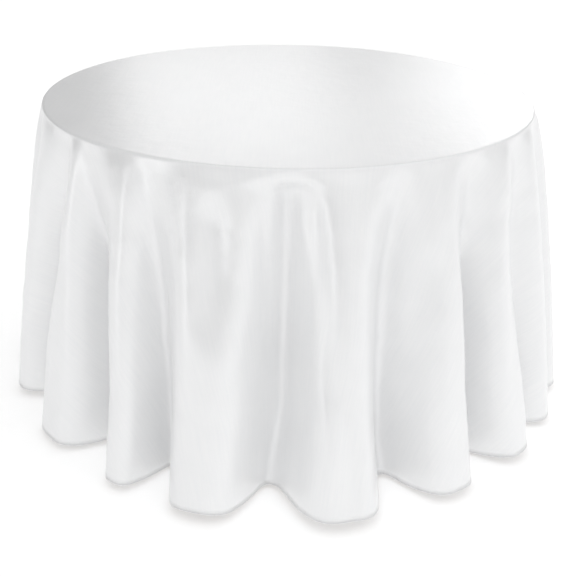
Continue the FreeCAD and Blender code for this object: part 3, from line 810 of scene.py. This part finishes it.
FINISH_OF = (
    ("table_top", "table_top"), ("edge_moulding", "edge"), ("runner_screws", "screw"),
    ("strap_screws", "screw"), ("bracket_screws", "screw"), ("runner_", "batten"),
    ("spacer_", "batten"), ("strap_", "plated"), ("brace_bracket_", "plated"),
    ("leg_frame_", "paint"), ("crossbar_", "paint"), ("leg_lug_", "paint"), ("foot_", "rubber"),
    ("brace_upper_", "link"), ("brace_lower_", "link"), ("brace_", "pin"),
)


def dress(parts):
    """Gives each of the frame's parts its finish, by the start of its name; the cloth has its own."""
    finishes = {
        "table_top": plywood_material(),
        "edge": vinyl_material(),
        "batten": batten_material(),
        "paint": paint_material(),
        "plated": steel_material("bracket_steel", (0.74, 0.73, 0.70), (0.6, 0.6, 0.58), 0.32, 0.48, 500.0),
        "link": steel_material("link_steel", (0.7, 0.7, 0.7), (0.55, 0.56, 0.57), 0.28, 0.42, 700.0),
        "pin": steel_material("pin_steel", (0.8, 0.8, 0.8), (0.68, 0.68, 0.68), 0.18, 0.3, 1200.0),
        "screw": steel_material("screw_steel", (0.62, 0.58, 0.48), (0.48, 0.44, 0.36), 0.3, 0.45, 1500.0),
        "rubber": rubber_material(),
    }
    for name, part in parts.items():
        if name != "tablecloth":
            finish = next(finishes[key] for start, key in FINISH_OF if name.startswith(start))
            part.data.materials.clear()
            part.data.materials.append(finish)


# ---------------------------------------------------------------------------------------------
# Floor, light and camera
# ---------------------------------------------------------------------------------------------
def lay_floor():
    """A wide white floor."""
    floor = add_object("floor", [(-FLOOR_HALF, -FLOOR_HALF, 0), (FLOOR_HALF, -FLOOR_HALF, 0),
                                 (FLOOR_HALF, FLOOR_HALF, 0), (-FLOOR_HALF, FLOOR_HALF, 0)],
                       [(0, 1, 2, 3)])
    made, tree, shader = new_material("pale_floor", Roughness=0.7, Emission_Color=(1, 1, 1, 1),
                                      Emission_Strength=FLOOR_GLOW)
    place = add(tree, "ShaderNodeTexCoord").outputs["Object"]
    tone = use(tree, MOTTLE, {"Vector": place, "Scale": 3.0, "Low": 0.0, "High": 1.0})["Value"]
    tree.links.new(blend_colour(tree, tone, (0.78, 0.78, 0.78, 1), (0.79, 0.79, 0.79, 1)),
                   shader.inputs["Base Color"])
    floor.data.materials.append(made)


def studio_world():
    """A room that is brightest high up at the front right, and plain white where it is looked at."""
    world = bpy.data.worlds.new("studio")
    world.use_nodes = True
    tree = world.node_tree
    heading = add(tree, "ShaderNodeTexCoord").outputs["Generated"]
    front = add(tree, "ShaderNodeVectorMath", {0: heading, 1: WORLD_FRONT}, operation="DOT_PRODUCT")
    glow = remap(tree, front.outputs["Value"], -0.1, 1.0, *WORLD_GLOW)
    seen = add(tree, "ShaderNodeLightPath").outputs["Is Camera Ray"]
    backdrop = add(tree, "ShaderNodeMix", {0: seen, 2: glow, 3: 1.0}, data_type="FLOAT")
    tree.links.new(backdrop.outputs[0], tree.nodes["Background"].inputs["Strength"])
    tree.nodes["Background"].inputs["Color"].default_value = (1, 1, 1, 1)
    bpy.context.scene.world = world


def softbox(name, place, aim, width, height, power):
    """A rectangular soft light that faces a point."""
    light = bpy.data.lights.new(name, "AREA")
    light.shape = "RECTANGLE"
    light.size = width
    light.size_y = height
    light.energy = power
    lamp = bpy.data.objects.new(name, light)
    bpy.context.scene.collection.objects.link(lamp)
    lamp.location = place
    lamp.rotation_euler = (Vector(aim) - Vector(place)).to_track_quat("-Z", "Y").to_euler()


def light_panel(name, start, end, glow, start_leans=False):
    """A large flat light that shows in the cloth's gloss, not to the camera; one edge slants."""
    lean = PANEL_SLANT * (PANEL_HIGH - PANEL_LOW)
    top_start, top_end = (start + lean, end) if start_leans else (start, end + lean)
    panel = add_object(name, [(start, PANEL_FAR, PANEL_LOW), (end, PANEL_FAR, PANEL_LOW),
                              (top_end, PANEL_FAR, PANEL_HIGH), (top_start, PANEL_FAR, PANEL_HIGH)],
                       [(0, 1, 2, 3)])
    made = new_material(name, Base_Color=(0, 0, 0, 1), Emission_Color=(1, 1, 1, 1),
                        Emission_Strength=glow)[0]
    panel.data.materials.append(made)
    panel.visible_camera = False


def set_camera():
    """The camera, in front of the table and a little above it."""
    data = bpy.data.cameras.new("camera")
    camera = bpy.data.objects.new("camera", data)
    bpy.context.scene.collection.objects.link(camera)
    ahead = (AIM - EYE).normalized()
    right = ahead.cross(Vector((0, 0, 1))).normalized()
    up = right.cross(ahead)
    roll = Matrix.Rotation(math.radians(CAMERA_ROLL), 3, "Z")
    turn = Matrix((right, up, -ahead)).transposed() @ roll
    camera.matrix_world = Matrix.Translation(EYE) @ turn.to_4x4()
    data.sensor_width = SENSOR
    data.lens = LENS
    bpy.context.scene.camera = camera


# ---------------------------------------------------------------------------------------------
# The object and the room, one after the other
# ---------------------------------------------------------------------------------------------
cloth, grid = cloth_piece()
satin = satin_material()
cloth.data.materials.append(satin)
hem, stitch_line = hem_piece(grid)
hem.data.materials.append(satin)
stitches = stitch_piece(stitch_line, thread_material())
dress(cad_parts)

lay_floor()
studio_world()
bpy.context.scene.view_settings.view_transform = "Standard"
light_panel("panel_back_left", *PANEL_LEFT)
light_panel("panel_back_right", *PANEL_RIGHT, start_leans=True)
softbox("strip_left", (-3.0, -2.4, 0.68), (0, 0, 0.5), 1.0, 1.3, STRIP_POWER)
set_camera()

for piece in (cloth, hem, stitches):
    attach(piece, "cloth")
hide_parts("tablecloth")
